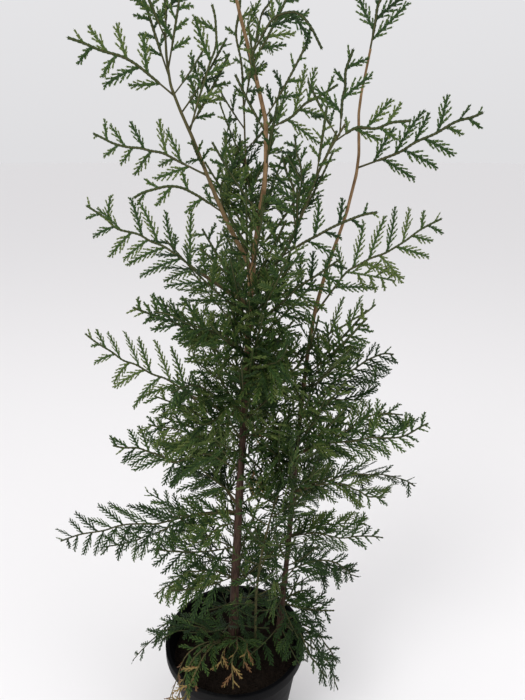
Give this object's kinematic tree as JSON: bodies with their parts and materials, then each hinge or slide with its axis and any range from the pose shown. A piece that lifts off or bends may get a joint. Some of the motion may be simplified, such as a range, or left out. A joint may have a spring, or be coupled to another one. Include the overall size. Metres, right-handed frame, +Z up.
{
  "type": "potted thuja",
  "caption": "Young thuja with two main stems and open, fern-like sprays of scale leaves, standing in a round black plastic nursery pot of compost.",
  "frame": {"origin": "centre of the pot's flat underside", "axes": "+Z up along the pot's axis, +Y away from the side that the picture shows, +X to that side's right"},
  "size_m": [0.4368, 0.2256, 0.944],
  "materials": {
    "pot_plastic": "dull moulded black plastic, faintly scuffed",
    "compost": "dark crumbly potting compost; stone stands in for it",
    "old_bark": "thin, red-brown, stringy bark",
    "young_bark": "smooth tan and orange-brown young bark",
    "leaf_green": "flat sprays of small green scale leaves, satin",
    "dry_leaf": "yellow-brown, dry scale leaves"
  },
  "bodies": {
    "root": {"pot": "pot_plastic", "compost": "compost", "main_stem": "old_bark", "right_stem": "old_bark", "slender_stem": "young_bark", "left_leader": "young_bark", "centre_leader": "young_bark", "back_shoot": "young_bark", "back_left_bough": "young_bark", "left_arch_bough": "young_bark", "left_low_bough": "young_bark", "left_upper_bough": "young_bark", "right_low_bough": "young_bark", "right_middle_bough": "young_bark", "back_base": "leaf_green", "back_high": "leaf_green", "back_left": "leaf_green", "back_middle": "leaf_green", "back_right": "leaf_green", "back_shoot_tip": "leaf_green", "centre_leader_inner": "leaf_green", "centre_leader_low": "leaf_green", "centre_leader_side": "leaf_green", "centre_leader_tip": "leaf_green", "front_high": "leaf_green", "front_left": "leaf_green", "front_left_low": "leaf_green", "front_right": "leaf_green", "inner_left": "leaf_green", "leader_left": "leaf_green", "leader_left_low": "leaf_green", "leader_left_top": "leaf_green", "left_arch": "leaf_green", "left_base": "leaf_green", "left_fork": "leaf_green", "left_leader_tip": "leaf_green", "left_low": "leaf_green", "left_middle": "leaf_green", "left_thin": "leaf_green", "left_upper": "leaf_green", "main_stem_tip": "leaf_green", "right_base": "leaf_green", "right_foot": "leaf_green", "right_high": "leaf_green", "right_long": "leaf_green", "right_low": "leaf_green", "right_low_under": "leaf_green", "right_middle": "leaf_green", "right_middle_high": "leaf_green", "right_stem_tip": "leaf_green", "right_upper": "leaf_green", "right_upper_low": "leaf_green", "rim_front": "dry_leaf", "rim_front_left": "dry_leaf", "rim_left": "leaf_green", "rim_right": "leaf_green", "slender_stem_tip": "leaf_green", "top_arch": "leaf_green", "top_back": "leaf_green", "upper_back": "leaf_green"}
  },
  "joints": []
}
